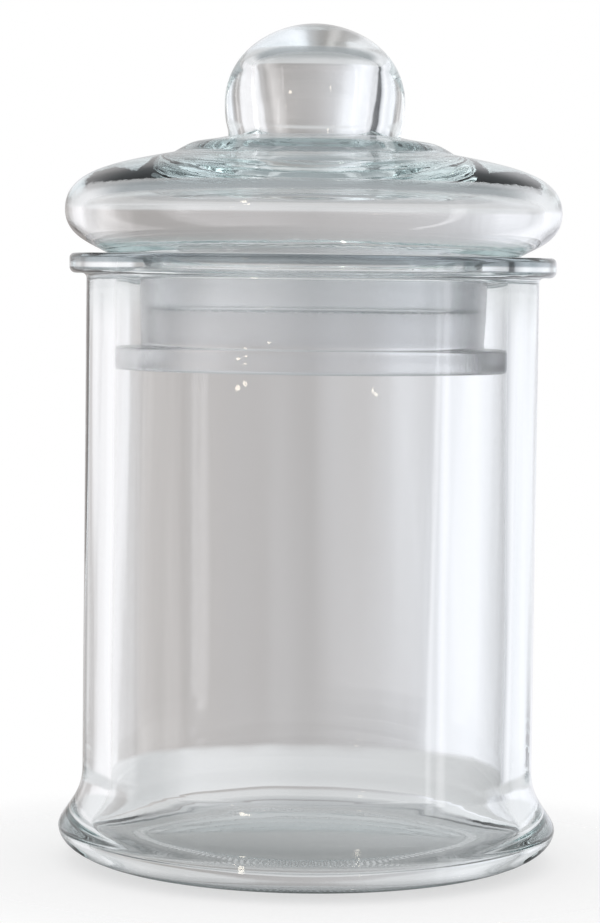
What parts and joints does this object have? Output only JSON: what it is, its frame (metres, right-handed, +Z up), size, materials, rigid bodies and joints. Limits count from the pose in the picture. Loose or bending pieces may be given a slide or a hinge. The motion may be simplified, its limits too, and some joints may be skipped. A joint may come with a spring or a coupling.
{
  "type": "lidded glass canister",
  "caption": "Clear glass canister with a flared foot and flanged rim, closed by a hollow glass lid with a ball knob, a skirt that goes into the mouth and a soft plastic seal.",
  "frame": {"origin": "centre of the base, on the surface that the jar stands on", "axes": "+Z up along the axis that every piece is turned about; X and Y are any two square directions, since the object is round"},
  "size_m": [0.1012, 0.1012, 0.1696],
  "materials": {
    "clear_glass": "clear, polished by fire",
    "seal_plastic": "milky, see-through, soft"
  },
  "bodies": {
    "jar": {"jar": "clear_glass"},
    "seal": {"seal": "seal_plastic"},
    "lid": {"lid": "clear_glass"}
  },
  "joints": [
    {"name": "lid_lift", "type": "slide", "parent": "jar", "child": "seal", "axis": [0, 0, 1], "range_m": [0, 0.06]},
    {"name": "lid_turn", "type": "hinge", "parent": "seal", "child": "lid", "pos_m": [0, 0, 0.11], "axis": [0, 0, 1], "continuous": true}
  ]
}
